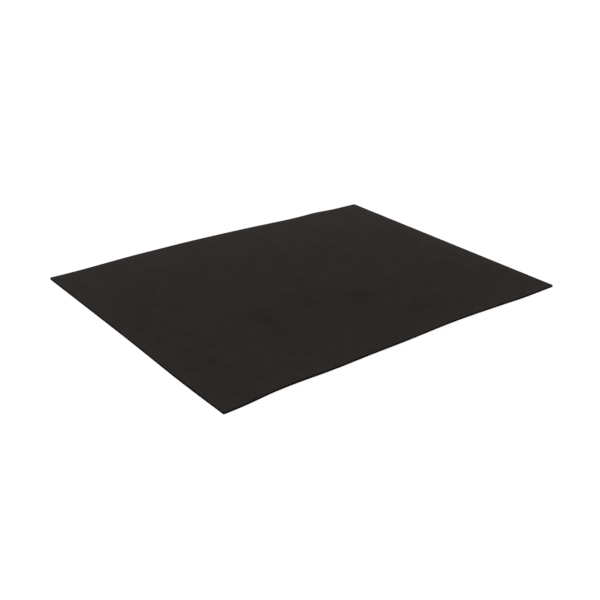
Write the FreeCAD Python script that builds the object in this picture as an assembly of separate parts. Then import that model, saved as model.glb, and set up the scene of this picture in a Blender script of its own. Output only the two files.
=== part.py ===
import FreeCAD, Part

# Flexible seedling heat mat: two rubber covers with a foam layer, a reflective foil and a printed
# heating film sealed between them. Two copper busbars feed a ladder of carbon strips, and insulated
# leads join the busbars to a flat cord gland that is sunk into one short edge.
# Millimetres. The origin is the centre of the underside. +X runs along the mat towards the edge
# with the gland, +Y towards the long edge that the gland is nearest to, and +Z up from the bench.

import os

Vector = FreeCAD.Vector

# ---------------------------------------------------------------- overall size
mat_length = 600.0
mat_width = 450.0
corner_radius = 1.5

# ---------------------------------------------------------------- covers and border
bottom_cover_thickness = 0.5
top_cover_thickness = 0.58
border_width = 15.0             # solid rubber strips that close the edge between the covers
assembly_gap = 0.05             # between pieces that are laid side by side

# ---------------------------------------------------------------- heating film
film_margin = 10.0              # from the border's inner side to the film's edge
film_thickness = 0.12
foil_thickness = 0.1
carbon_thickness = 0.04
busbar_thickness = 0.04
busbar_width = 12.0
busbar_edge = 4.0               # film left outside a busbar, along its length
busbar_end = 5.0                # film left beyond a busbar's ends
strip_count = 24
strip_width = 15.0
strip_lap = 6.0                 # how far a strip runs in under its busbar
strip_end = 9.5                 # from a busbar's end to the nearest strip

# ---------------------------------------------------------------- leads and terminals
lead_diameter = 1.3
lead_core_diameter = 0.66
lead_cover = 0.1                # room above and below a lead in the foam
lead_slot_side = 0.2            # room on each side of a lead in the foam
lead_bend_radius = 6.0
core_clearance = 0.03           # radial, round a copper core
terminal_inset = 4.0            # from a busbar's end to its terminal's centre
shank_radius = 1.2
shank_bore_radius = 0.9
shank_clearance = 0.05
eyelet_head_radius = 2.5
eyelet_head_thickness = 0.2
eyelet_tail_radius = 2.0
eyelet_tail_thickness = 0.2
ring_radius = 2.75
ring_thickness = 0.3
ring_neck_width = 1.1
ring_barrel_gap = 1.4           # from the ring to the start of its barrel
ring_barrel_length = 5.0
ring_step_length = 0.8          # the part of the neck that comes down to the barrel
ring_step_lap = 0.3             # how far that part runs on over the barrel
live_margin = 1.75              # foil kept back from a terminal, all round
window_clearance = 0.5          # round an eyelet's head in the film and the cover
head_clearance = 0.05           # above an eyelet's head
patch_thickness = 0.08
pocket_margin = 3.5             # foam kept back from a terminal, all round
patch_clearance = 0.2

# ---------------------------------------------------------------- cord gland
gland_from_corner = 75.0        # from the mat's corner to the gland's middle
gland_neck_width = 18.0
gland_flange_width = 26.0
gland_flange_depth = 7.0
gland_lead_in = 0.25            # flare at the mouths of the core bores
splice_length = 8.0
splice_shoulder = 0.15          # a splice is this much wider than the supply core's bore, all round
splice_stop = 0.5
splice_clearance = 0.02
splice_setback = 10.0           # from the mat's edge to a splice
gland_wall = 1.1                # between the two splices
cord_core_clearance = 0.05      # radial, round a supply core as thick as a lead

# ---------------------------------------------------------------- levels, from the bench up
foam_thickness = lead_diameter + 2 * lead_cover
foam_bottom = bottom_cover_thickness
foil_bottom = foam_bottom + foam_thickness
lower_film_bottom = foil_bottom + foil_thickness
carbon_bottom = lower_film_bottom + film_thickness
busbar_bottom = carbon_bottom + carbon_thickness
upper_film_bottom = busbar_bottom + busbar_thickness
top_cover_bottom = upper_film_bottom + film_thickness
mat_thickness = top_cover_bottom + top_cover_thickness
lead_level = foam_bottom + foam_thickness / 2

# ---------------------------------------------------------------- places in plan
inner_x = mat_length / 2 - border_width
inner_y = mat_width / 2 - border_width
film_x = inner_x - film_margin
film_y = inner_y - film_margin
busbar_x = film_x - busbar_end
busbar_outer_y = film_y - busbar_edge
busbar_y = busbar_outer_y - busbar_width / 2
strip_y = busbar_outer_y - busbar_width + strip_lap
terminal_x = busbar_x - terminal_inset

lead_radius = lead_diameter / 2
core_radius = lead_core_diameter / 2
core_bore_radius = core_radius + core_clearance
cord_core_radius = lead_radius + cord_core_clearance
splice_radius = cord_core_radius + splice_shoulder
core_pitch = 2 * splice_radius + gland_wall
gland_y = mat_width / 2 - gland_from_corner
gland_outer_x = mat_length / 2
gland_step_x = gland_outer_x - border_width
gland_inner_x = gland_step_x - gland_flange_depth
splice_outer_x = gland_outer_x - splice_setback
splice_inner_x = splice_outer_x - splice_length

# Each pole has the side of its busbar (+1 or -1 in Y). Its lead turns into the gland on that side.
poles = {"feed": 1, "return": -1}


# ---------------------------------------------------------------- shapes
def block(x_range, y_range, z_range):
    """A box between two places on each axis."""
    size = [high - low for low, high in (x_range, y_range, z_range)]
    return Part.makeBox(*size, Vector(x_range[0], y_range[0], z_range[0]))


def centred(half_x, half_y, z_range):
    """A box centred on the mat's middle."""
    return block((-half_x, half_x), (-half_y, half_y), z_range)


def disc(radius, x, y, z_range):
    """An upright cylinder."""
    return Part.makeCylinder(radius, z_range[1] - z_range[0], Vector(x, y, z_range[0]))


def rod(radius, x_range, y, z=lead_level):
    """A cylinder that lies along X."""
    start = Vector(x_range[0], y, z)
    return Part.makeCylinder(radius, x_range[1] - x_range[0], start, Vector(1, 0, 0))


def cross_rod(radius, x, y_range, z=lead_level):
    """A cylinder that lies along Y."""
    low, high = sorted(y_range)
    return Part.makeCylinder(radius, high - low, Vector(x, low, z), Vector(0, 1, 0))


def cut(shape, *tools):
    """A shape with the tools taken out of it."""
    for tool in tools:
        shape = shape.cut(tool)
    return shape


def joined(shape, *others):
    """Several shapes made one solid."""
    for other in others:
        shape = shape.fuse(other)
    return shape.removeSplitter()


def mat_slice(z_range):
    """The mat's whole plan, with its rounded corners, between two levels."""
    plate = centred(mat_length / 2, mat_width / 2, z_range)
    upright = [
        edge for edge in plate.Edges
        if abs(edge.Vertexes[0].Z - edge.Vertexes[1].Z) > (z_range[1] - z_range[0]) / 2
    ]
    return plate.makeFillet(corner_radius, upright)


def terminal(side):
    """The centre of a pole's terminal, in plan."""
    return terminal_x, side * busbar_y


# ---------------------------------------------------------------- cord gland
def gland_plan(z_range, clearance=0.0):
    """The gland's outline: a neck through the border and a wider flange that the border holds."""
    neck_y = gland_neck_width / 2 + clearance
    flange_y = gland_flange_width / 2 + clearance
    neck_x = (gland_step_x - gland_flange_depth, gland_outer_x)
    flange_x = (gland_inner_x - clearance, gland_step_x)
    neck = block(neck_x, (gland_y - neck_y, gland_y + neck_y), z_range)
    flange = block(flange_x, (gland_y - flange_y, gland_y + flange_y), z_range)
    return joined(neck, flange)


def lead_y(side):
    """Where a pole's lead, splice and supply core lie in the gland."""
    return gland_y + side * core_pitch / 2


def lead_in(y):
    """The flare at the mouth of a core bore."""
    start = Vector(gland_outer_x - gland_lead_in, y, lead_level)
    mouth_radius = cord_core_radius + gland_lead_in
    return Part.makeCone(cord_core_radius, mouth_radius, gland_lead_in, start, Vector(1, 0, 0))


def make_gland():
    gland = gland_plan((0, top_cover_bottom))
    for side in poles.values():
        y = lead_y(side)
        gland = cut(
            gland,
            lead_in(y),
            rod(cord_core_radius, (splice_outer_x, gland_outer_x), y),
            rod(splice_radius + splice_clearance, (splice_inner_x, splice_outer_x), y),
            rod(lead_radius + core_clearance, (gland_inner_x, splice_inner_x), y),
        )
    return gland


def make_splice(side):
    """A copper tube with a stop in the middle: the lead is crimped in one end, the supply in the other."""
    y = lead_y(side)
    middle = (splice_inner_x + splice_outer_x) / 2
    lead_end = (splice_inner_x, middle - splice_stop / 2)
    supply_end = (middle + splice_stop / 2, splice_outer_x)
    return cut(
        rod(splice_radius, (splice_inner_x, splice_outer_x), y),
        rod(core_bore_radius, lead_end, y),
        rod(core_bore_radius, supply_end, y),
    )


# ---------------------------------------------------------------- terminals
def barrel_ends(side):
    """Where a ring terminal's barrel starts and ends in Y: it points from the ring to the gland."""
    start = side * (busbar_y - ring_radius - ring_barrel_gap)
    return start, start - side * ring_barrel_length


def make_eyelet(side):
    """A hollow rivet: its head sits on the busbar and its tail clamps the ring terminal."""
    x, y = terminal(side)
    ring_bottom = lower_film_bottom - ring_thickness
    tail_bottom = ring_bottom - eyelet_tail_thickness
    head_top = upper_film_bottom + eyelet_head_thickness
    body = joined(
        disc(shank_radius, x, y, (tail_bottom, head_top)),
        disc(eyelet_head_radius, x, y, (upper_film_bottom, head_top)),
        disc(eyelet_tail_radius, x, y, (tail_bottom, ring_bottom)),
    )
    return cut(body, disc(shank_bore_radius, x, y, (tail_bottom, head_top)))


def make_ring_terminal(side):
    """A ring under the film, a neck that steps down, and a barrel that is crimped on the lead's core."""
    x, y = terminal(side)
    start, end = barrel_ends(side)
    neck_x = (x - ring_neck_width / 2, x + ring_neck_width / 2)
    neck_end = start - side * ring_step_lap
    plate_z = (lower_film_bottom - ring_thickness, lower_film_bottom)
    step_z = (lead_level + core_bore_radius, lower_film_bottom)
    body = joined(
        disc(ring_radius, x, y, plate_z),
        block(neck_x, sorted((y, neck_end)), plate_z),
        block(neck_x, sorted((neck_end + side * ring_step_length, neck_end)), step_z),
        cross_rod(lead_radius, x, (start, end)),
    )
    return cut(
        body,
        disc(shank_radius + shank_clearance, x, y, plate_z),
        cross_rod(core_bore_radius, x, (start, end)),
    )


def round_terminal(side, margin, z_range):
    """A rectangle round a pole's ring and barrel, with a margin on every side."""
    x, y = terminal(side)
    half_x = ring_radius + margin
    outer_y = y + side * (ring_radius + margin)
    inner_end_y = barrel_ends(side)[1] - side * margin
    return block((x - half_x, x + half_x), sorted((outer_y, inner_end_y)), z_range)


def make_patch(side):
    """Adhesive insulating film on the bottom cover, under a terminal."""
    z_range = (foam_bottom, foam_bottom + patch_thickness)
    return round_terminal(side, pocket_margin - patch_clearance, z_range)


# ---------------------------------------------------------------- leads
def lead_path(side, start_y, end_x):
    """A lead's centreline: along the mat's end, then round a bend into the gland."""
    y = lead_y(side)
    bend_y = y + side * lead_bend_radius
    bend_x = terminal_x + lead_bend_radius
    centre = Vector(bend_x, bend_y, lead_level)
    half_turn = lead_bend_radius / 2 ** 0.5
    middle = centre + Vector(-half_turn, -side * half_turn, 0)
    corner_in = Vector(terminal_x, bend_y, lead_level)
    corner_out = Vector(bend_x, y, lead_level)
    run_in = Part.LineSegment(Vector(terminal_x, start_y, lead_level), corner_in)
    bend = Part.Arc(corner_in, middle, corner_out)
    run_out = Part.LineSegment(corner_out, Vector(end_x, y, lead_level))
    return Part.Wire([run_in.toShape(), bend.toShape(), run_out.toShape()])


def round_sweep(path, radius):
    """A round bar along a path that starts along Y."""
    start = path.OrderedVertexes[0].Point
    ring = Part.Circle(start, Vector(0, 1, 0), radius)
    return path.makePipeShell([Part.Wire([ring.toShape()])], True, True)


def make_lead_core(side):
    start = barrel_ends(side)[0] - side * core_clearance
    stop = (splice_inner_x + splice_outer_x - splice_stop) / 2 - core_clearance
    return round_sweep(lead_path(side, start, stop), core_radius)


def make_lead_insulation(side):
    start = barrel_ends(side)[1] - side * assembly_gap
    path = lead_path(side, start, splice_inner_x - assembly_gap)
    return round_sweep(path, lead_radius).cut(round_sweep(path, core_bore_radius))


def lead_slot(side):
    """The channel in the foam that a lead lies in."""
    half = lead_radius + lead_slot_side
    z_range = (foam_bottom, foil_bottom)
    y = lead_y(side)
    along_y = sorted((barrel_ends(side)[1], y - side * half))
    run_in = block((terminal_x - half, terminal_x + half), along_y, z_range)
    run_out = block((terminal_x - half, gland_inner_x), (y - half, y + half), z_range)
    bend_square = block(
        (terminal_x - half, terminal_x + lead_bend_radius),
        sorted((y, y + side * lead_bend_radius)),
        z_range,
    )
    return joined(run_in, run_out, bend_square)


# ---------------------------------------------------------------- layers
def make_bottom_cover():
    return cut(mat_slice((0, foam_bottom)), gland_plan((0, foam_bottom)))


def make_top_cover():
    cover = mat_slice((top_cover_bottom, mat_thickness))
    head_top = upper_film_bottom + eyelet_head_thickness + head_clearance
    for side in poles.values():
        x, y = terminal(side)
        room = disc(eyelet_head_radius + window_clearance, x, y, (top_cover_bottom, head_top))
        cover = cut(cover, room)
    return cover


def make_border():
    """The strips between the covers, by name. The gland parts the one on its own edge."""
    z_range = (foam_bottom, top_cover_bottom)
    whole = mat_slice(z_range)
    end_y = inner_y - assembly_gap
    gap = gland_neck_width / 2
    right_x = (inner_x, mat_length / 2)
    x_full = (-mat_length / 2, mat_length / 2)
    strips = {
        "border_front": block(x_full, (-mat_width / 2, -inner_y), z_range),
        "border_rear": block(x_full, (inner_y, mat_width / 2), z_range),
        "border_left": block((-mat_length / 2, -inner_x), (-end_y, end_y), z_range),
        "border_right_front": block(right_x, (-end_y, gland_y - gap), z_range),
        "border_right_rear": block(right_x, (gland_y + gap, end_y), z_range),
    }
    return {name: strip.common(whole) for name, strip in strips.items()}


def make_foam():
    z_range = (foam_bottom, foil_bottom)
    foam = centred(inner_x - assembly_gap, inner_y - assembly_gap, z_range)
    foam = cut(foam, gland_plan(z_range, assembly_gap))
    for side in poles.values():
        foam = cut(foam, lead_slot(side), round_terminal(side, pocket_margin, z_range))
    return foam


def make_foil():
    z_range = (foil_bottom, lower_film_bottom)
    foil = centred(film_x, film_y, z_range)
    for side in poles.values():
        foil = cut(foil, round_terminal(side, live_margin, z_range))
    return foil


def make_film(z_bottom, hole_radius):
    z_range = (z_bottom, z_bottom + film_thickness)
    film = centred(film_x, film_y, z_range)
    for side in poles.values():
        film = cut(film, disc(hole_radius, *terminal(side), z_range))
    return film


def make_busbar(side):
    z_range = (busbar_bottom, upper_film_bottom)
    y_range = sorted((side * busbar_outer_y, side * (busbar_outer_y - busbar_width)))
    bar = block((-busbar_x, busbar_x), y_range, z_range)
    return cut(bar, disc(shank_radius + shank_clearance, *terminal(side), z_range))


def make_carbon_strip(index):
    first_x = -busbar_x + strip_end
    pitch = (2 * (busbar_x - strip_end) - strip_width) / (strip_count - 1)
    x = first_x + index * pitch
    return block((x, x + strip_width), (-strip_y, strip_y), (carbon_bottom, busbar_bottom))


# ---------------------------------------------------------------- the assembly
def make_mat():
    """Every piece of the mat, by name."""
    shank_hole = shank_radius + shank_clearance
    pieces = {
        "bottom_cover": make_bottom_cover(),
        **make_border(),
        "foam_core": make_foam(),
        "reflective_foil": make_foil(),
        "lower_film": make_film(lower_film_bottom, shank_hole),
        "upper_film": make_film(upper_film_bottom, eyelet_head_radius + window_clearance),
        "top_cover": make_top_cover(),
        "cord_gland": make_gland(),
    }
    for index in range(strip_count):
        pieces[f"carbon_strip_{index + 1:02d}"] = make_carbon_strip(index)
    for pole, side in poles.items():
        pieces[f"busbar_{pole}"] = make_busbar(side)
        pieces[f"eyelet_{pole}"] = make_eyelet(side)
        pieces[f"ring_terminal_{pole}"] = make_ring_terminal(side)
        pieces[f"insulating_patch_{pole}"] = make_patch(side)
        pieces[f"lead_core_{pole}"] = make_lead_core(side)
        pieces[f"lead_insulation_{pole}"] = make_lead_insulation(side)
        pieces[f"splice_{pole}"] = make_splice(side)
    return pieces


os.makedirs("parts", exist_ok=True)
for name, shape in make_mat().items():
    shape.exportStep(f"parts/{name}.step")
    print(f"{name}: {len(shape.Solids)} solid, {shape.Volume:.1f} mm3, valid {shape.isValid()}")
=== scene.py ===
# Seedling heat mat, laid out on a pale table: rubber covers with foam, foil and a printed heating
# film between them. Lengths are in metres, and MM turns a size in millimetres into metres.

import math

import bmesh
import bpy
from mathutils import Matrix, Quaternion, Vector


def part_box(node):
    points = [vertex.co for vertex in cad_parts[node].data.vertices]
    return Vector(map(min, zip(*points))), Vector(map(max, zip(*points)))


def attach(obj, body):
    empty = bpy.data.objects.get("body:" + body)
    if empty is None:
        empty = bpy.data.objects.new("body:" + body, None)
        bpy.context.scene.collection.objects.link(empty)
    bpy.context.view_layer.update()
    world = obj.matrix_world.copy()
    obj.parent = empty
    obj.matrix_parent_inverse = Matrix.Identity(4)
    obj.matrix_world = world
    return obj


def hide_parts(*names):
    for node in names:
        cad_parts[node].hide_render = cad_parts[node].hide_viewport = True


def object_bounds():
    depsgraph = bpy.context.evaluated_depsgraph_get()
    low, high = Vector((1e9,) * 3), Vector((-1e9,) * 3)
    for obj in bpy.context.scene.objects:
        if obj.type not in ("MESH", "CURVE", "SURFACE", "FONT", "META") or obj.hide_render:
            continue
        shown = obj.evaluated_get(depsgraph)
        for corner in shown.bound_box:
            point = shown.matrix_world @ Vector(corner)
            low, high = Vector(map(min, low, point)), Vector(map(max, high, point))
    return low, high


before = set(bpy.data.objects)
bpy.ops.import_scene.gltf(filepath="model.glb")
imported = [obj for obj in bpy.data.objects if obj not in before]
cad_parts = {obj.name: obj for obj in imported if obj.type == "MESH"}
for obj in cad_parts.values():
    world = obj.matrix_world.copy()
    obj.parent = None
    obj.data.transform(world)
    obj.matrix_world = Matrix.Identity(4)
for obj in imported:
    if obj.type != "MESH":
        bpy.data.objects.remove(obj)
cad_low, cad_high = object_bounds()
MM = 0.001


# ------------------------------------------------------------------------------ camera
# The camera looks across the mat from beyond its front left corner, like a person at the bench.
# It is tipped a little, and the plain view transform keeps the rubber black and the table white.
CAMERA_AIM = Vector((-26.5, -53.2, 0.0)) * MM
CAMERA_DISTANCE = 1238.5 * MM
CAMERA_AZIMUTH = math.radians(-40.72)
CAMERA_ELEVATION = math.radians(25.11)
CAMERA_ROLL = math.radians(2.42)
CAMERA_LENS = 51.98
CAMERA_SHIFT = -0.025

level = math.cos(CAMERA_ELEVATION)
backwards = Vector((
    math.sin(CAMERA_AZIMUTH) * level,
    -math.cos(CAMERA_AZIMUTH) * level,
    math.sin(CAMERA_ELEVATION),
))
camera = bpy.data.objects.new("camera", bpy.data.cameras.new("camera"))
camera.data.lens = CAMERA_LENS
camera.data.shift_x = CAMERA_SHIFT
camera.location = CAMERA_AIM + backwards * CAMERA_DISTANCE
camera.rotation_mode = "QUATERNION"
camera.rotation_quaternion = (
    (-backwards).to_track_quat("-Z", "Y") @ Quaternion((0, 0, 1), CAMERA_ROLL)
)
bpy.context.scene.collection.objects.link(camera)
bpy.context.scene.camera = camera
bpy.context.scene.view_settings.view_transform = "Standard"


# ------------------------------------------------------------------------------ top cover
# The warm face that the trays stand on: one sheet of matte black rubber, with a fine grain from the
# rolls that it was made on. The mat is limp, so it lies in low swells, and its face gathers lint.
GRID = 10 * MM
GRID_START = 3.1 * MM
TOP_RIM_ROUND = 0.2 * MM
RIM_SEGMENTS = 3
SHARP_ANGLE = math.radians(35)

# How close two corners, levels or faces are when they count as one, and where a sheet's rim is: at
# edges that turn by more than an angle, in a narrow band inside the outline.
SAME_POINT = 0.0005 * MM
SAME_LEVEL = 0.01 * MM
SAME_PLANE = 0.01
RIM_ANGLE = 1.0
RIM_BAND = 2 * MM

# The mat lies flat at its free left end and at the end that the wiring holds stiff, and the swells
# rise and fall over this length beside them.
FREE_END = cad_low.x
HELD_END = cad_high.x - 45 * MM
SWELL_ENDS = 70 * MM

# Each swell crosses the mat: its place along the front and rear edges, half its width, and its
# height at the front and rear edges.
SWELLS = [
    (-207 * MM, -166 * MM, 68 * MM, 3.9 * MM, 2.7 * MM),
    (-85 * MM, -77 * MM, 65 * MM, 2.5 * MM, 2.1 * MM),
    (72 * MM, 17 * MM, 119 * MM, 5.1 * MM, 3.8 * MM),
    (210 * MM, 225 * MM, 45 * MM, 0.0 * MM, 2.4 * MM),
]

# The left end was cut a little full: how much, where along the edge, and over what half width.
FULLNESS = 1.7 * MM
FULLEST_AT = -137 * MM
FULL_WIDTH = 91 * MM
FULL_REACH = 200 * MM


def between(first, last, share):
    return first + (last - first) * share


def ease(share):
    """0 to 1 with level ends."""
    share = min(1.0, max(0.0, share))
    return share * share * (3 - 2 * share)


def swell_height(x, y):
    """How far the mat is lifted off the table."""
    share = (y - cad_low.y) / (cad_high.y - cad_low.y)
    height = 0.0
    for front_x, rear_x, width, front_height, rear_height in SWELLS:
        away = (x - between(front_x, rear_x, share)) / width
        height += between(front_height, rear_height, share) * math.exp(-away * away)
    return height * ease((x - FREE_END) / SWELL_ENDS) * ease((HELD_END - x) / SWELL_ENDS)


def outward(x, y):
    """How far the mat spreads beyond a true rectangle, near its left end."""
    away = (y - FULLEST_AT) / FULL_WIDTH
    return FULLNESS * math.exp(-away * away) * ease(1 - (x - FREE_END) / FULL_REACH)


def grid_lines(low, high):
    """The places between two ends where a sheet is cut for bending."""
    first = math.ceil((low - GRID_START) / GRID)
    last = math.floor((high - GRID_START) / GRID)
    return [GRID_START + step * GRID for step in range(first, last + 1)]


def rim(mesh, heights):
    """The sharp edges of a flat piece that run along the mat's outline, at any of the heights."""
    found = []
    for edge in mesh.edges:
        at_height = any(
            all(abs(corner.co.z - height) < SAME_LEVEL for corner in edge.verts)
            for height in heights
        )
        sharp = edge.is_manifold and edge.calc_face_angle() > RIM_ANGLE
        on_outline = all(
            abs(corner.co.x) > cad_high.x - RIM_BAND or abs(corner.co.y) > cad_high.y - RIM_BAND
            for corner in edge.verts
        )
        if at_height and sharp and on_outline:
            found.append(edge)
    return found


def lay(node, finish, rim_round=0.0, rim_heights=()):
    """A layer of the mat as it lies: the flat piece cut into a grid, let down on the swells."""
    mesh = bmesh.new()
    mesh.from_mesh(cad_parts[node].data)
    bmesh.ops.remove_doubles(mesh, verts=mesh.verts, dist=SAME_POINT)
    bmesh.ops.dissolve_limit(mesh, angle_limit=SAME_PLANE, verts=mesh.verts, edges=mesh.edges)
    low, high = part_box(node)
    if rim_round:
        bmesh.ops.bevel(
            mesh, geom=rim(mesh, rim_heights), offset=rim_round, segments=RIM_SEGMENTS,
            profile=0.5, affect="EDGES",
        )
    cuts = [((x, 0, 0), (1, 0, 0)) for x in grid_lines(low.x, high.x)]
    cuts += [((0, y, 0), (0, 1, 0)) for y in grid_lines(low.y, high.y)]
    for place, direction in cuts:
        everything = mesh.verts[:] + mesh.edges[:] + mesh.faces[:]
        bmesh.ops.bisect_plane(
            mesh, geom=everything, dist=SAME_POINT, plane_co=place, plane_no=direction
        )
    for corner in mesh.verts:
        x, y, z = corner.co
        corner.co = (x - outward(x, y), y, z + swell_height(x, y))
    laid = bpy.data.objects.new(f"laid_{node}", bpy.data.meshes.new(f"laid_{node}"))
    mesh.to_mesh(laid.data)
    mesh.free()
    laid.data.shade_smooth()
    laid.data.set_sharp_from_angle(angle=SHARP_ANGLE)
    laid.data.materials.append(finish)
    bpy.context.scene.collection.objects.link(laid)
    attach(laid, "root")
    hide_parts(node)
    return laid


def feed(tree, socket, value):
    """Sets a socket to a number, or links another node's socket to it."""
    if isinstance(value, bpy.types.NodeSocket):
        tree.links.new(value, socket)
    else:
        socket.default_value = value


def add(tree, kind, inputs=None, **settings):
    """A shader node with its settings, and its inputs as numbers or as other nodes' sockets."""
    made = tree.nodes.new(f"ShaderNode{kind}")
    for name, value in settings.items():
        setattr(made, name, value)
    for name, value in (inputs or {}).items():
        feed(tree, made.inputs[name], value)
    return made


def calculate(tree, operation, first, second=0.0):
    return add(tree, "Math", {0: first, 1: second}, operation=operation).outputs[0]


def vectors(tree, operation, first, second):
    made = add(tree, "VectorMath", {0: first, 1: second}, operation=operation)
    return made.outputs[0]


def remap(tree, value, low, high, new_low=0.0, new_high=1.0):
    """A value that runs from low to high, softened at both ends, as new_low to new_high."""
    inputs = {0: value, 1: low, 2: high, 3: new_low, 4: new_high}
    return add(tree, "MapRange", inputs, interpolation_type="SMOOTHSTEP").outputs[0]


def mix_colours(tree, share, first, second):
    return add(tree, "Mix", {0: share, 6: first, 7: second}, data_type="RGBA").outputs[2]


def tint(tree, colour, mask, strength, mark_colour):
    """A colour with another laid over it where the mask is, as strongly as the strength says."""
    return mix_colours(tree, calculate(tree, "MULTIPLY", mask, strength), colour, mark_colour)


def place_in_mat(tree):
    """The place in the mat of the point that is shaded."""
    return add(tree, "TexCoord").outputs["Object"]


def effect(name, inputs, outputs):
    """An empty node group with named sockets, and its own ends."""
    tree = bpy.data.node_groups.new(name, "ShaderNodeTree")
    for socket_name, kind, value in inputs:
        socket = tree.interface.new_socket(
            socket_name, in_out="INPUT", socket_type=f"NodeSocket{kind}"
        )
        socket.default_value = value
    for socket_name, kind in outputs:
        tree.interface.new_socket(
            socket_name, in_out="OUTPUT", socket_type=f"NodeSocket{kind}"
        )
    given = tree.nodes.new("NodeGroupInput").outputs
    result = tree.nodes.new("NodeGroupOutput").inputs
    return tree, given, result


def use(tree, group, output=0, **inputs):
    """One output of a placed effect. Its inputs are named as the effect's sockets."""
    placed = tree.nodes.new("ShaderNodeGroup")
    placed.node_tree = group
    for name, value in inputs.items():
        feed(tree, placed.inputs[name], value)
    return placed.outputs[output]


def make_clouds():
    """Soft patches of tone, such as a rolled sheet has, from 0 to 1."""
    tree, given, result = effect(
        "clouds",
        [("Size", "Float", 0.05), ("Detail", "Float", 4.0), ("Contrast", "Float", 0.25)],
        [("Mask", "Float")],
    )
    noise = add(tree, "TexNoise", {
        "Vector": place_in_mat(tree),
        "Scale": calculate(tree, "DIVIDE", 1.0, given["Size"]),
        "Detail": given["Detail"],
        "Roughness": 0.55,
    })
    low = calculate(tree, "SUBTRACT", 0.5, given["Contrast"])
    high = calculate(tree, "ADD", 0.5, given["Contrast"])
    tree.links.new(remap(tree, noise.outputs[0], low, high), result["Mask"])
    return tree


def make_grain():
    """The fine pebbled grain of rolled or moulded rubber: 0 in the pits and 1 on the pebbles."""
    pits_per_pebble = 2.3
    pebble_share = -0.7
    pit_share = 0.8
    lowest = -0.15
    highest = 0.35
    tree, given, result = effect("rubber_grain", [("Size", "Float", 0.001)], [("Height", "Float")])
    scale = calculate(tree, "DIVIDE", 1.0, given["Size"])
    spot = place_in_mat(tree)
    pebbles = add(tree, "TexVoronoi", {"Vector": spot, "Scale": scale, "Randomness": 0.9},
                  feature="SMOOTH_F1")
    pits = add(tree, "TexNoise", {
        "Vector": spot,
        "Scale": calculate(tree, "MULTIPLY", scale, pits_per_pebble),
        "Detail": 3.0,
    })
    height = calculate(
        tree, "ADD",
        calculate(tree, "MULTIPLY", pebbles.outputs["Distance"], pebble_share),
        calculate(tree, "MULTIPLY", pits.outputs[0], pit_share),
    )
    tree.links.new(remap(tree, height, lowest, highest), result["Height"])
    return tree


def make_flecks():
    """Specks of dust or lint, scattered: 1 on a speck and 0 off it."""
    wobble_scale = 160.0
    wobble_width = 4 * MM
    tree, given, result = effect(
        "flecks",
        [
            ("Spacing", "Float", 0.02), ("Size", "Float", 0.2), ("Share", "Float", 0.3),
            ("Stretch", "Vector", (1.0, 1.0, 1.0)),
        ],
        [("Mask", "Float")],
    )
    stretched = vectors(tree, "MULTIPLY", place_in_mat(tree), given["Stretch"])
    wobble = add(tree, "TexNoise", {"Vector": stretched, "Scale": wobble_scale, "Detail": 2.0})
    wobbled = vectors(tree, "MULTIPLY", wobble.outputs["Color"], (wobble_width,) * 3)
    cells = add(tree, "TexVoronoi", {
        "Vector": vectors(tree, "ADD", wobbled, stretched),
        "Scale": calculate(tree, "DIVIDE", 1.0, given["Spacing"]),
    })
    near = remap(tree, cells.outputs["Distance"], given["Size"], 0.0)
    red = add(tree, "SeparateColor", {0: cells.outputs["Color"]}).outputs[0]
    chosen = calculate(tree, "LESS_THAN", red, given["Share"])
    tree.links.new(calculate(tree, "MULTIPLY", near, chosen), result["Mask"])
    return tree


def make_patch():
    """A soft-edged patch at a place on the mat: 1 in its middle and 0 outside it."""
    ragged_scale = 45.0
    ragged_width = 30 * MM
    tree, given, result = effect(
        "patch",
        [
            ("Middle", "Vector", (0.0, 0.0, 0.0)), ("Reach", "Vector", (0.05, 0.05, 1.0)),
            ("Turn", "Float", 0.0),
        ],
        [("Mask", "Float")],
    )
    spot = place_in_mat(tree)
    ragged = add(tree, "TexNoise", {"Vector": spot, "Scale": ragged_scale, "Detail": 3.0})
    shift = vectors(tree, "MULTIPLY", ragged.outputs["Color"], (ragged_width, ragged_width, 0.0))
    moved = vectors(tree, "ADD", shift, spot)
    offset = vectors(tree, "SUBTRACT", moved, given["Middle"])
    centred = vectors(tree, "SUBTRACT", offset, (ragged_width / 2, ragged_width / 2, 0.0))
    turned = add(tree, "VectorRotate", {"Vector": centred, "Angle": given["Turn"]},
                 rotation_type="Z_AXIS")
    scaled = vectors(tree, "DIVIDE", turned.outputs[0], given["Reach"])
    distance = add(tree, "VectorMath", {0: scaled}, operation="LENGTH").outputs["Value"]
    tree.links.new(remap(tree, distance, 1.0, 0.0), result["Mask"])
    return tree


def make_outline_distance():
    """How far a point is from the mat's outline, with a ragged line instead of a ruled one."""
    ragged_scale = 120.0
    tree, given, result = effect(
        "outline_distance", [("Ragged", "Float", 0.002)], [("Distance", "Float")]
    )
    spot = place_in_mat(tree)
    across, along, _ = add(tree, "SeparateXYZ", {0: spot}).outputs
    from_end = calculate(tree, "SUBTRACT", cad_high.x, calculate(tree, "ABSOLUTE", across))
    from_side = calculate(tree, "SUBTRACT", cad_high.y, calculate(tree, "ABSOLUTE", along))
    inwards = calculate(tree, "MINIMUM", from_end, from_side)
    noise = add(tree, "TexNoise", {"Vector": spot, "Scale": ragged_scale, "Detail": 4.0})
    swing = calculate(tree, "SUBTRACT", noise.outputs[0], 0.5)
    ragged = calculate(tree, "MULTIPLY", swing, given["Ragged"])
    tree.links.new(calculate(tree, "ADD", inwards, ragged), result["Distance"])
    return tree


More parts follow.
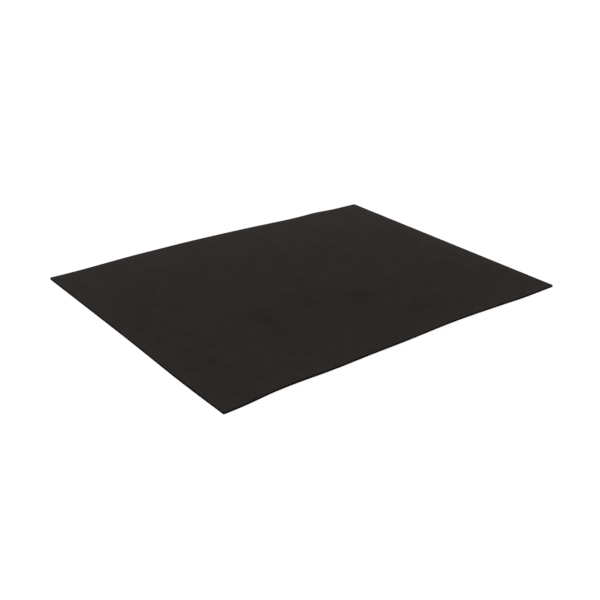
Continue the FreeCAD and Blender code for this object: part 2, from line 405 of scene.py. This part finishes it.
def make_cut_edge():
    """The knife-cut edge of a sheet: 1 on the cut and 0 on the two faces."""
    face_from = 0.75
    cut_below = 0.45
    tree, _, result = effect("cut_edge", [], [("Mask", "Float")])
    facing = add(tree, "SeparateXYZ", {0: add(tree, "TexCoord").outputs["Normal"]})
    upright = calculate(tree, "ABSOLUTE", facing.outputs[2])
    tree.links.new(remap(tree, upright, face_from, cut_below), result["Mask"])
    return tree


clouds = make_clouds()
rubber_grain = make_grain()
flecks = make_flecks()
patch = make_patch()
outline_distance = make_outline_distance()
cut_edge = make_cut_edge()


def start_material(name):
    """A new material: its tree and its Principled shader."""
    material = bpy.data.materials.new(name)
    material.use_nodes = True
    return material, material.node_tree, material.node_tree.nodes["Principled BSDF"]


def connect(tree, shader, **sockets):
    """Links values that change over the surface to the shader, with _ for a space in a name."""
    for name, value in sockets.items():
        tree.links.new(value, shader.inputs[name.replace("_", " ")])


def bump(tree, height, depth):
    """A normal from a height that is worth so many metres."""
    return add(tree, "Bump", {"Height": height, "Distance": depth}).outputs[0]


# Marks on the warm face, in millimetres: the middle, the reach along and across, the turn and the
# strength. The dark patches are painted shade, for shallow dents and for the dimmer front and
# middle of the mat. The pale patches are painted sheen, brightest along the rear edge and at the
# right end.
# Their pale colour is also that of bloom, the film that rubber sweats out and hands rub off.
PAINTED_SHADE_PATCHES = [
    (-130, -80, 24, 78, 0.06, 0.66),
    (-50, -68, 48, 30, 0.60, 0.42),
    (22, -90, 52, 32, 0.20, 0.46),
    (195, -75, 60, 34, 0.00, 0.25),
    (78, -170, 85, 34, 0.15, 0.28),
    (-20, -205, 75, 30, 0.00, 0.20),
    (-50, -100, 320, 170, 0.12, 0.30),
    (140, -130, 170, 140, 0.00, 0.14),
]
PAINTED_SHEEN_PATCHES = [
    (-258, 135, 60, 95, 0.30, 0.18),
    (335, 60, 110, 330, 0.00, 0.60),
    (320, 240, 340, 240, 0.00, 0.28),
    (60, 260, 360, 190, 0.00, 0.46),
    (-240, 250, 330, 190, 0.00, 0.34),
    (90, 240, 180, 70, 0.00, 0.20),
]
# The first colour is painted shade, and the second is painted sheen and the pale bloom of wear.
PAINTED_SHADE_COLOUR = (0.0110, 0.0100, 0.0092, 1)
SHEEN_AND_BLOOM_COLOUR = (0.0300, 0.0265, 0.0248, 1)
LINT_COLOUR = (0.105, 0.096, 0.088, 1)
# The cut edges' colour is painted shade, for the upright sides that the overhead light misses.
SIDE_SHADE_COLOUR = (0.0085, 0.0077, 0.0073, 1)

# The band along the outline that lies over the solid border is paler.
PALE_BAND_FROM = 26 * MM
PALE_BAND_TO = 12 * MM
EDGE_WEAR = 2 * MM


def make_top_rubber():
    black = (0.0133, 0.0114, 0.0106, 1)
    soft_black = (0.0176, 0.0152, 0.0141, 1)
    cloud_grey = (0.0250, 0.0215, 0.0200, 1)
    speckle_grey = (0.0250, 0.0217, 0.0202, 1)
    material, tree, shader = start_material("top_rubber")
    broad = use(tree, clouds, Size=75 * MM, Detail=4.0, Contrast=0.18)
    middling = use(tree, clouds, Size=22 * MM, Detail=3.0, Contrast=0.20)
    fine = use(tree, clouds, Size=7 * MM, Detail=3.0, Contrast=0.25)
    handled = use(tree, patch, Middle=(-0.16, -0.10, 0), Reach=(0.26, 0.22, 1), Turn=0.3)
    colour = mix_colours(tree, broad, black, soft_black)
    colour = tint(tree, colour, middling, 0.52, cloud_grey)
    colour = tint(tree, colour, fine, remap(tree, handled, 0.0, 1.0, 0.50, 0.90), speckle_grey)
    # The dark patches lay on painted shade, and the pale patches lay on painted sheen.
    for marks, mark_colour in ((PAINTED_SHADE_PATCHES, PAINTED_SHADE_COLOUR), (PAINTED_SHEEN_PATCHES, SHEEN_AND_BLOOM_COLOUR)):
        for x, y, along, across, turn, strength in marks:
            mark = use(tree, patch, Middle=(x * MM, y * MM, 0), Turn=turn,
                       Reach=(along * MM, across * MM, 1))
            colour = tint(tree, colour, mark, strength, mark_colour)
    distance = use(tree, outline_distance, Ragged=6 * MM)
    colour = tint(tree, colour, remap(tree, distance, PALE_BAND_FROM, PALE_BAND_TO), 0.13, SHEEN_AND_BLOOM_COLOUR)
    worn = remap(tree, distance, EDGE_WEAR, -EDGE_WEAR)
    colour = tint(tree, colour, worn, 0.15, SHEEN_AND_BLOOM_COLOUR)
    grain = use(tree, rubber_grain, Size=1.1 * MM)
    # The pits of the grain are darkened with the same colour: painted shade in the hollows.
    colour = mix_colours(tree, remap(tree, grain, 0.0, 1.0, 0.22, 0.0), colour, PAINTED_SHADE_COLOUR)
    # The cut edge is painted darker than the face: painted shade on the upright side.
    colour = mix_colours(tree, use(tree, cut_edge), colour, SIDE_SHADE_COLOUR)
    lint = use(tree, flecks, Spacing=34 * MM, Size=0.045, Share=0.10, Stretch=(1.0, 0.45, 1.0))
    dust = use(tree, flecks, Spacing=7.5 * MM, Size=0.075, Share=0.10)
    specks = calculate(tree, "ADD", calculate(tree, "MULTIPLY", lint, 0.30),
                       calculate(tree, "MULTIPLY", dust, 0.14))
    colour = mix_colours(tree, specks, colour, LINT_COLOUR)
    roughness = remap(tree, calculate(tree, "ADD", broad, worn), 0.0, 1.6, 0.62, 0.74)
    height = calculate(tree, "ADD", grain, specks)
    shader.inputs["Specular IOR Level"].default_value = 0.06
    connect(tree, shader, Base_Color=colour, Roughness=roughness,
            Normal=bump(tree, height, 0.15 * MM))
    return material


top_cover = lay(
    "top_cover", make_top_rubber(), TOP_RIM_ROUND, [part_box("top_cover")[1].z]
)


# ------------------------------------------------------------------------------ border
# Five solid rubber strips, vulcanised between the covers to close the mat's edge. The edge is a
# knife cut, so it is smoother than the faces, with faint drag lines along it. Its blacker colour is
# painted shade, for an upright side that the overhead light misses.
BORDERS = ("border_front", "border_rear", "border_left", "border_right_front", "border_right_rear")

# The strips' outer corners are rounded off by this much, which leaves the edge's two bond lines.
BOND_LINE = 0.1 * MM


def make_streaks():
    """Fine lines that run one way, such as a knife or a roll leaves, from 0 to 1."""
    tree, given, result = effect(
        "streaks",
        [("Stretch", "Vector", (1.0, 1.0, 1.0)), ("Scale", "Float", 900.0)],
        [("Height", "Float")],
    )
    stretched = vectors(tree, "MULTIPLY", place_in_mat(tree), given["Stretch"])
    lines = add(tree, "TexNoise", {"Vector": stretched, "Scale": given["Scale"], "Detail": 3.0})
    tree.links.new(lines.outputs[0], result["Height"])
    return tree


streaks = make_streaks()


def make_border_rubber():
    # These blacks are darker than the top face's: painted shade on the upright edge.
    dark = (0.0070, 0.0064, 0.0061, 1)
    light = (0.0105, 0.0096, 0.0092, 1)
    dust_colour = (0.07, 0.065, 0.06, 1)
    material, tree, shader = start_material("border_rubber")
    tone = use(tree, clouds, Size=12 * MM, Detail=4.0, Contrast=0.25)
    dust = use(tree, flecks, Spacing=4 * MM, Size=0.09, Share=0.12)
    colour = tint(tree, mix_colours(tree, tone, dark, light), dust, 0.2, dust_colour)
    drag_lines = use(tree, streaks, Stretch=(1.0, 1.0, 28.0), Scale=170.0)
    shader.inputs["Specular IOR Level"].default_value = 0.10
    connect(tree, shader, Base_Color=colour, Roughness=remap(tree, tone, 0.0, 1.0, 0.55, 0.72),
            Normal=bump(tree, drag_lines, 0.05 * MM))
    return material


border_rubber = make_border_rubber()
for border in BORDERS:
    border_heights = [corner.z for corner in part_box(border)]
    lay(border, border_rubber, BOND_LINE, border_heights)


# ------------------------------------------------------------------------------ bottom cover
# The side that lies on the bench: a thinner rubber sheet, cured against cloth so that it grips. It
# carries the cloth's weave all over, and is bonded to the foam and the border.
BOTTOM_RIM_ROUND = 0.15 * MM
WEAVE_PITCH = 0.9 * MM


def make_crossed_ridges():
    """Even ridges both ways, a pitch apart: the higher of the two, and where both are high."""
    wave_scale = math.pi / 10
    tree, given, result = effect(
        "crossed_ridges",
        [("Pitch", "Float", 0.001), ("Distortion", "Float", 0.0)],
        [("Higher", "Float"), ("Crossings", "Float")],
    )
    inputs = {
        "Vector": place_in_mat(tree),
        "Scale": calculate(tree, "DIVIDE", wave_scale, given["Pitch"]),
        "Distortion": given["Distortion"],
        "Detail": 1.0,
    }
    ridges = [add(tree, "TexWave", inputs, bands_direction=way).outputs[0] for way in ("X", "Y")]
    tree.links.new(calculate(tree, "MAXIMUM", *ridges), result["Higher"])
    tree.links.new(calculate(tree, "MULTIPLY", *ridges), result["Crossings"])
    return tree


crossed_ridges = make_crossed_ridges()


def make_bottom_rubber():
    dark = (0.0165, 0.0150, 0.0142, 1)
    light = (0.0225, 0.0205, 0.0190, 1)
    worn_colour = (0.040, 0.037, 0.034, 1)
    thread_colour = (0.030, 0.027, 0.025, 1)
    dust_colour = (0.11, 0.10, 0.09, 1)
    material, tree, shader = start_material("bottom_rubber")
    tone = use(tree, clouds, Size=80 * MM, Detail=5.0, Contrast=0.22)
    worn = remap(tree, use(tree, outline_distance, Ragged=8 * MM), 6 * MM, -EDGE_WEAR)
    colour = tint(tree, mix_colours(tree, tone, dark, light), worn, 0.4, worn_colour)
    weave = use(tree, crossed_ridges, "Higher", Pitch=WEAVE_PITCH, Distortion=0.6)
    colour = tint(tree, colour, weave, 0.25, thread_colour)
    dust = use(tree, flecks, Spacing=12 * MM, Size=0.08, Share=0.25)
    colour = tint(tree, colour, dust, 0.3, dust_colour)
    # The cut edge is painted darker than the face: painted shade on the upright side.
    colour = mix_colours(tree, use(tree, cut_edge), colour, SIDE_SHADE_COLOUR)
    grain = calculate(tree, "MULTIPLY", use(tree, rubber_grain, Size=0.6 * MM), 0.3)
    shader.inputs["Specular IOR Level"].default_value = 0.2
    connect(tree, shader, Base_Color=colour, Roughness=remap(tree, weave, 0.0, 1.0, 0.9, 0.7),
            Normal=bump(tree, calculate(tree, "ADD", weave, grain), 0.08 * MM))
    return material


bottom_cover = lay(
    "bottom_cover", make_bottom_rubber(), BOTTOM_RIM_ROUND, [cad_low.z]
)


# ------------------------------------------------------------------------------ cord gland
# A flat moulded rubber inlet, keyed into the border by its flange. Its two bores take the cores of
# a supply cord. It comes from a spark-finished mould, so it is finer and shinier than the sheets.
def make_gland_rubber():
    dark = (0.0075, 0.0072, 0.0071, 1)
    light = (0.0110, 0.0106, 0.0104, 1)
    worn_colour = (0.030, 0.029, 0.028, 1)
    material, tree, shader = start_material("gland_rubber")
    tone = use(tree, clouds, Size=5 * MM, Detail=3.0, Contrast=0.3)
    worn = remap(tree, use(tree, outline_distance, Ragged=1 * MM), 1 * MM, 0.0)
    colour = tint(tree, mix_colours(tree, tone, dark, light), worn, 0.4, worn_colour)
    shader.inputs["Specular IOR Level"].default_value = 0.2
    connect(tree, shader, Base_Color=colour, Roughness=remap(tree, tone, 0.0, 1.0, 0.45, 0.58),
            Normal=bump(tree, use(tree, rubber_grain, Size=0.3 * MM), 0.02 * MM))
    return material


def finish_node(node, material):
    """Gives a CAD piece its material."""
    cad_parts[node].material_slots[0].material = material


finish_node("cord_gland", make_gland_rubber())


# ------------------------------------------------------------------------------ foam core
# Closed-cell foam, die-cut with channels for the leads and pockets for the terminals. It keeps the
# heat off the bench, and it is glued between the bottom cover and the foil.
FOAM_CELL = 0.5 * MM


def make_cell_walls():
    """Thin walls between uneven cells: 1 on a wall and 0 inside a cell."""
    tree, given, result = effect(
        "cell_walls", [("Size", "Float", 0.001), ("Wall", "Float", 0.1)], [("Mask", "Float")]
    )
    scale = calculate(tree, "DIVIDE", 1.0, given["Size"])
    cells = add(tree, "TexVoronoi", {"Vector": place_in_mat(tree), "Scale": scale},
                feature="DISTANCE_TO_EDGE")
    walls = remap(tree, cells.outputs["Distance"], 0.0, given["Wall"], 1.0, 0.0)
    tree.links.new(walls, result["Mask"])
    return tree


cell_walls = make_cell_walls()


def make_foam():
    dark = (0.052, 0.052, 0.054, 1)
    light = (0.070, 0.070, 0.072, 1)
    wall_colour = (0.105, 0.105, 0.108, 1)
    material, tree, shader = start_material("foam")
    tone = use(tree, clouds, Size=30 * MM, Detail=4.0, Contrast=0.25)
    walls = use(tree, cell_walls, Size=FOAM_CELL, Wall=0.16)
    colour = tint(tree, mix_colours(tree, tone, dark, light), walls, 0.5, wall_colour)
    shader.inputs["Specular IOR Level"].default_value = 0.3
    connect(tree, shader, Base_Color=colour, Roughness=remap(tree, walls, 0.0, 1.0, 0.9, 0.7),
            Normal=bump(tree, walls, 0.06 * MM))
    return material


foam_core = lay("foam_core", make_foam())


# ------------------------------------------------------------------------------ reflective foil
# Aluminised polyester, metal side up, with windows round the terminals. It was smoothed down by
# hand, which leaves it slightly crinkled.
CREASE_SPACING = 14 * MM
CRINKLE = 6 * MM


def make_ripples():
    """Soft uneven ripples in a thin film, from 0 to 1."""
    tree, given, result = effect(
        "ripples", [("Size", "Float", 0.005), ("Detail", "Float", 4.0)], [("Height", "Float")]
    )
    noise = add(tree, "TexNoise", {
        "Vector": place_in_mat(tree),
        "Scale": calculate(tree, "DIVIDE", 1.0, given["Size"]),
        "Detail": given["Detail"],
    })
    tree.links.new(noise.outputs[0], result["Height"])
    return tree


ripples = make_ripples()


def make_foil():
    dull = (0.80, 0.80, 0.82, 1)
    bright = (0.90, 0.90, 0.91, 1)
    material, tree, shader = start_material("foil")
    creases = use(tree, cell_walls, Size=CREASE_SPACING, Wall=0.05)
    crinkle = use(tree, ripples, Size=CRINKLE, Detail=4.0)
    height = calculate(tree, "ADD", calculate(tree, "MULTIPLY", creases, 0.5), crinkle)
    tone = use(tree, clouds, Size=50 * MM, Detail=3.0, Contrast=0.3)
    shader.inputs["Metallic"].default_value = 1.0
    connect(tree, shader, Base_Color=mix_colours(tree, tone, dull, bright),
            Roughness=remap(tree, tone, 0.0, 1.0, 0.2, 0.34),
            Normal=bump(tree, height, 0.15 * MM))
    return material


lay("reflective_foil", make_foil())


# ------------------------------------------------------------------------------ heating film
# Two clear polyester sheets with 24 strips of carbon ink printed between them. A copper foil busbar
# is rolled over the strips' ends along each long side, and feeds them all side by side.
STRIP_COUNT = 24
SCREEN_PITCH = 0.3 * MM


def make_film():
    amber_haze = (0.74, 0.72, 0.64, 1)
    clear_haze = (0.82, 0.80, 0.73, 1)
    material, tree, shader = start_material("polyester_film")
    haze = use(tree, clouds, Size=20 * MM, Detail=4.0, Contrast=0.3)
    shader.inputs["IOR"].default_value = 1.57
    shader.inputs["Transmission Weight"].default_value = 0.7
    connect(tree, shader, Base_Color=mix_colours(tree, haze, amber_haze, clear_haze),
            Roughness=remap(tree, haze, 0.0, 1.0, 0.12, 0.26))
    return material


def make_carbon_ink():
    dark = (0.011, 0.011, 0.012, 1)
    light = (0.019, 0.019, 0.020, 1)
    material, tree, shader = start_material("carbon_ink")
    dots = use(tree, crossed_ridges, "Crossings", Pitch=SCREEN_PITCH)
    tone = use(tree, clouds, Size=15 * MM, Detail=4.0, Contrast=0.3)
    connect(tree, shader, Base_Color=mix_colours(tree, tone, dark, light),
            Roughness=remap(tree, dots, 0.0, 1.0, 0.55, 0.7),
            Normal=bump(tree, dots, 0.01 * MM))
    return material


def make_metal(name, bright, dull, along, smooth, rough):
    """Rolled or drawn metal: streaks along one axis, and tarnish in clouds."""
    material, tree, shader = start_material(name)
    lines = use(tree, streaks, Stretch=along, Scale=900.0)
    tarnish = use(tree, clouds, Size=18 * MM, Detail=4.0, Contrast=0.25)
    both = calculate(tree, "ADD", calculate(tree, "MULTIPLY", lines, 0.5),
                     calculate(tree, "MULTIPLY", tarnish, 0.5))
    shader.inputs["Metallic"].default_value = 1.0
    connect(tree, shader, Base_Color=mix_colours(tree, tarnish, bright, dull),
            Roughness=remap(tree, both, 0.0, 1.0, smooth, rough),
            Normal=bump(tree, lines, 0.004 * MM))
    return material


film = make_film()
carbon_ink = make_carbon_ink()
rolled_copper = make_metal(
    "rolled_copper", (0.83, 0.42, 0.28, 1), (0.62, 0.29, 0.18, 1), (0.04, 1.0, 1.0), 0.22, 0.42
)
for film_sheet in ("lower_film", "upper_film"):
    lay(film_sheet, film)
for number in range(1, STRIP_COUNT + 1):
    lay(f"carbon_strip_{number:02d}", carbon_ink)
for pole in ("feed", "return"):
    lay(f"busbar_{pole}", rolled_copper)


# ------------------------------------------------------------------------------ terminals and leads
# A hollow rivet clamps each tinned ring terminal to its busbar, over an insulating patch. A copper
# lead is crimped in the ring's barrel, and ends in a splice inside the gland.
RIPPLE = 2 * MM


def make_lead_cover(name, dark, light):
    material, tree, shader = start_material(name)
    tone = use(tree, clouds, Size=4 * MM, Detail=3.0, Contrast=0.3)
    shader.inputs["Specular IOR Level"].default_value = 0.45
    connect(tree, shader, Base_Color=mix_colours(tree, tone, dark, light),
            Roughness=remap(tree, tone, 0.0, 1.0, 0.36, 0.5),
            Normal=bump(tree, use(tree, rubber_grain, Size=0.2 * MM), 0.006 * MM))
    return material


def make_patch_film():
    brown = (0.42, 0.17, 0.03, 1)
    amber = (0.52, 0.24, 0.05, 1)
    material, tree, shader = start_material("patch_film")
    tone = use(tree, clouds, Size=6 * MM, Detail=3.0, Contrast=0.3)
    ripple = use(tree, ripples, Size=RIPPLE, Detail=2.0)
    connect(tree, shader, Base_Color=mix_colours(tree, tone, brown, amber),
            Roughness=remap(tree, tone, 0.0, 1.0, 0.18, 0.3),
            Normal=bump(tree, ripple, 0.02 * MM))
    return material


tinned_brass = make_metal(
    "tinned_brass", (0.76, 0.74, 0.70, 1), (0.60, 0.57, 0.52, 1), (1.0, 1.0, 0.1), 0.2, 0.38
)
copper_strand = make_metal(
    "copper_strand", (0.85, 0.44, 0.29, 1), (0.66, 0.32, 0.20, 1), (1.0, 0.1, 1.0), 0.2, 0.35
)
patch_film = make_patch_film()
lead_covers = {
    "feed": make_lead_cover("red_insulation", (0.42, 0.012, 0.012, 1), (0.58, 0.022, 0.020, 1)),
    "return": make_lead_cover("black_insulation", (0.01, 0.01, 0.01, 1), (0.017, 0.017, 0.017, 1)),
}
for pole, lead_cover in lead_covers.items():
    finish_node(f"eyelet_{pole}", tinned_brass)
    finish_node(f"ring_terminal_{pole}", tinned_brass)
    finish_node(f"splice_{pole}", tinned_brass)
    finish_node(f"insulating_patch_{pole}", patch_film)
    finish_node(f"lead_core_{pole}", copper_strand)
    finish_node(f"lead_insulation_{pole}", lead_cover)


# ------------------------------------------------------------------------------ table and light
# A wide pale table. It glows to the camera only, so it is white right up to the mat but throws no
# glow on the mat's edge. One broad light hangs overhead, and a dim room gives the rubber its sheen.
TABLE_HALF = 12.0
TABLE_GAP = 0.1 * MM
TABLE_GLOW = 0.97
TABLE_PALE = 0.40
TABLE_PALEST = TABLE_PALE * 1.03
TABLE_SEEN = 0.06
KEY_STRENGTH = 2.08
KEY_COLOUR = (1.0, 0.952, 0.937)
KEY_SPREAD = math.radians(80)
KEY_TILT = (math.radians(-6), math.radians(6), 0.0)
ROOM_GLOW = (0.32, 0.302, 0.298, 1)
BACKDROP = 1.02


def grey(value):
    return (value, value, value, 1)


surface = bmesh.new()
corners = [surface.verts.new((x * TABLE_HALF, y * TABLE_HALF, -TABLE_GAP))
           for x, y in ((-1, -1), (1, -1), (1, 1), (-1, 1))]
surface.faces.new(corners)
table = bpy.data.objects.new("table", bpy.data.meshes.new("table"))
surface.to_mesh(table.data)
surface.free()
bpy.context.scene.collection.objects.link(table)
table_white, table_tree, table_shader = start_material("table_white")
seen = add(table_tree, "LightPath").outputs["Is Camera Ray"]
tone = use(table_tree, clouds, Size=0.4, Detail=2.0, Contrast=0.4)
pale = mix_colours(table_tree, tone, grey(TABLE_PALE), grey(TABLE_PALEST))
connect(
    table_tree, table_shader,
    Base_Color=mix_colours(table_tree, seen, pale, grey(TABLE_SEEN)),
    Emission_Strength=calculate(table_tree, "MULTIPLY", seen, TABLE_GLOW),
)
table_shader.inputs["Emission Color"].default_value = (1, 1, 1, 1)
table_shader.inputs["Roughness"].default_value = 0.9
table_shader.inputs["Specular IOR Level"].default_value = 0.0
table.data.materials.append(table_white)

key = bpy.data.objects.new("key_light", bpy.data.lights.new("key_light", "SUN"))
key.data.energy = KEY_STRENGTH
key.data.color = KEY_COLOUR
key.data.angle = KEY_SPREAD
key.rotation_euler = KEY_TILT
bpy.context.scene.collection.objects.link(key)

world = bpy.data.worlds.new("studio")
world.use_nodes = True
bpy.context.scene.world = world
room = world.node_tree
to_camera = add(room, "LightPath").outputs["Is Camera Ray"]
glow = mix_colours(room, to_camera, ROOM_GLOW, grey(BACKDROP))
room.links.new(glow, room.nodes["Background"].inputs["Color"])
